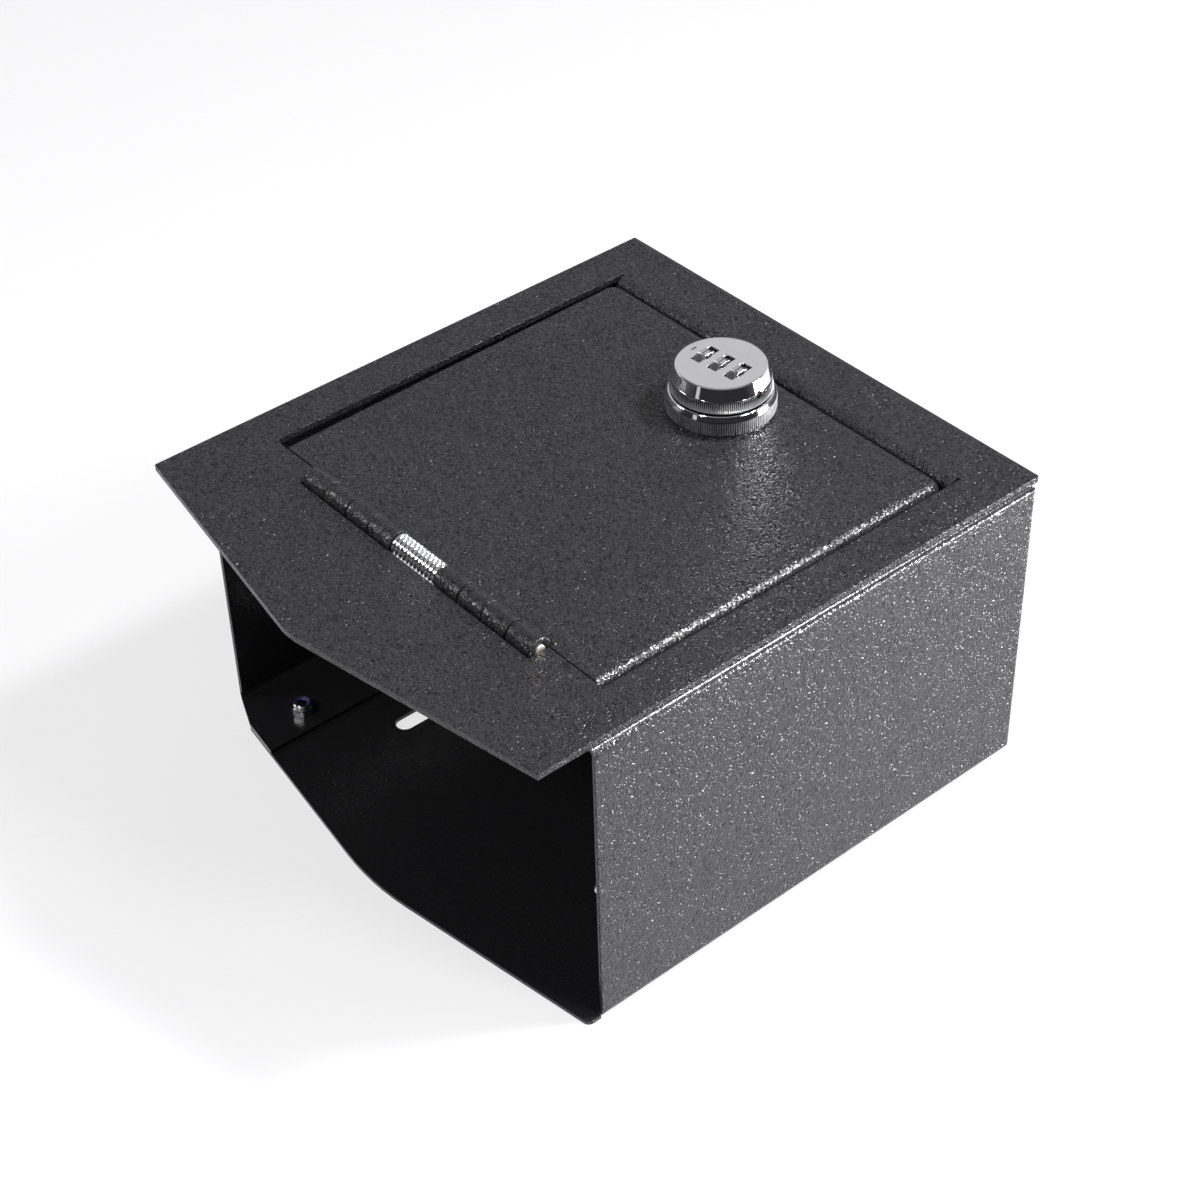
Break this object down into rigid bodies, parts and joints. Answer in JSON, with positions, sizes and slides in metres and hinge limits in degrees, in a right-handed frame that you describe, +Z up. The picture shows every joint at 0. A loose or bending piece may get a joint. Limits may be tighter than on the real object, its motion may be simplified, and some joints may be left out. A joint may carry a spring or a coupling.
{
  "type": "console safe",
  "caption": "Folded steel console safe with a chevron-fronted face plate over an open front, a sprung hinged lid and a combination knob lock whose cam turns under a strike flange.",
  "frame": {"origin": "on the floor under the middle of the overall length and width", "axes": "+X along the hinge to the right seen from the open front, +Y from the open front to the lock and the back wall, +Z up"},
  "size_m": [0.2032, 0.228, 0.1368],
  "materials": {
    "coat": "fine wrinkle powder coat, satin",
    "chrome": "polished",
    "steel": "bright",
    "zinc": "bright zinc plate",
    "brass": "drawn",
    "nylon": "moulded"
  },
  "bodies": {
    "box": {"face_plate": "coat", "main_shell": "coat", "left_wall": "coat", "clinch_stud_front": "zinc", "clinch_stud_middle": "zinc", "clinch_stud_rear": "zinc", "locking_nut_front": "zinc", "locking_nut_middle": "zinc", "locking_nut_rear": "zinc", "nylon_insert_front": "nylon", "nylon_insert_middle": "nylon", "nylon_insert_rear": "nylon", "lid_rest_left": "coat", "lid_rest_right": "coat", "hinge_frame_leaf": "coat", "hinge_pin": "steel", "hinge_spring": "steel"},
    "lid": {"lid_panel": "coat", "hinge_lid_leaf": "coat", "lock_body": "chrome", "lock_washer": "zinc", "lock_nut": "zinc"},
    "knob": {"lock_knob": "chrome", "spindle": "steel", "detent_leaf": "steel", "wheel_axle": "brass", "cam": "zinc", "cam_washer": "zinc", "cam_screw": "zinc"},
    "wheel_1": {"digit_wheel_1": "chrome"},
    "wheel_2": {"digit_wheel_2": "chrome"},
    "wheel_3": {"digit_wheel_3": "chrome"}
  },
  "joints": [
    {"name": "lid_hinge", "type": "hinge", "parent": "box", "child": "lid", "pos_m": [0, -0.0623, 0.1178], "axis": [1, 0, 0], "range_deg": [0, 110], "stiffness_Nm_per_rad": 0.15, "springref_deg": 110.01, "deforming": ["hinge_spring"]},
    {"name": "knob_turn", "type": "hinge", "parent": "lid", "child": "knob", "pos_m": [0.0018, 0.0637, 0.118], "axis": [0, 0, 1], "range_deg": [-4.6, 85.4]},
    {"name": "wheel_1_spin", "type": "hinge", "parent": "knob", "child": "wheel_1", "pos_m": [-0.00563, 0.0631, 0.1311], "axis": [0.9968, 0.0802, 0], "continuous": true},
    {"name": "wheel_2_spin", "type": "hinge", "parent": "knob", "child": "wheel_2", "pos_m": [0.0018, 0.0637, 0.1311], "axis": [0.9968, 0.0802, 0], "continuous": true},
    {"name": "wheel_3_spin", "type": "hinge", "parent": "knob", "child": "wheel_3", "pos_m": [0.00923, 0.0643, 0.1311], "axis": [0.9968, 0.0802, 0], "continuous": true}
  ]
}
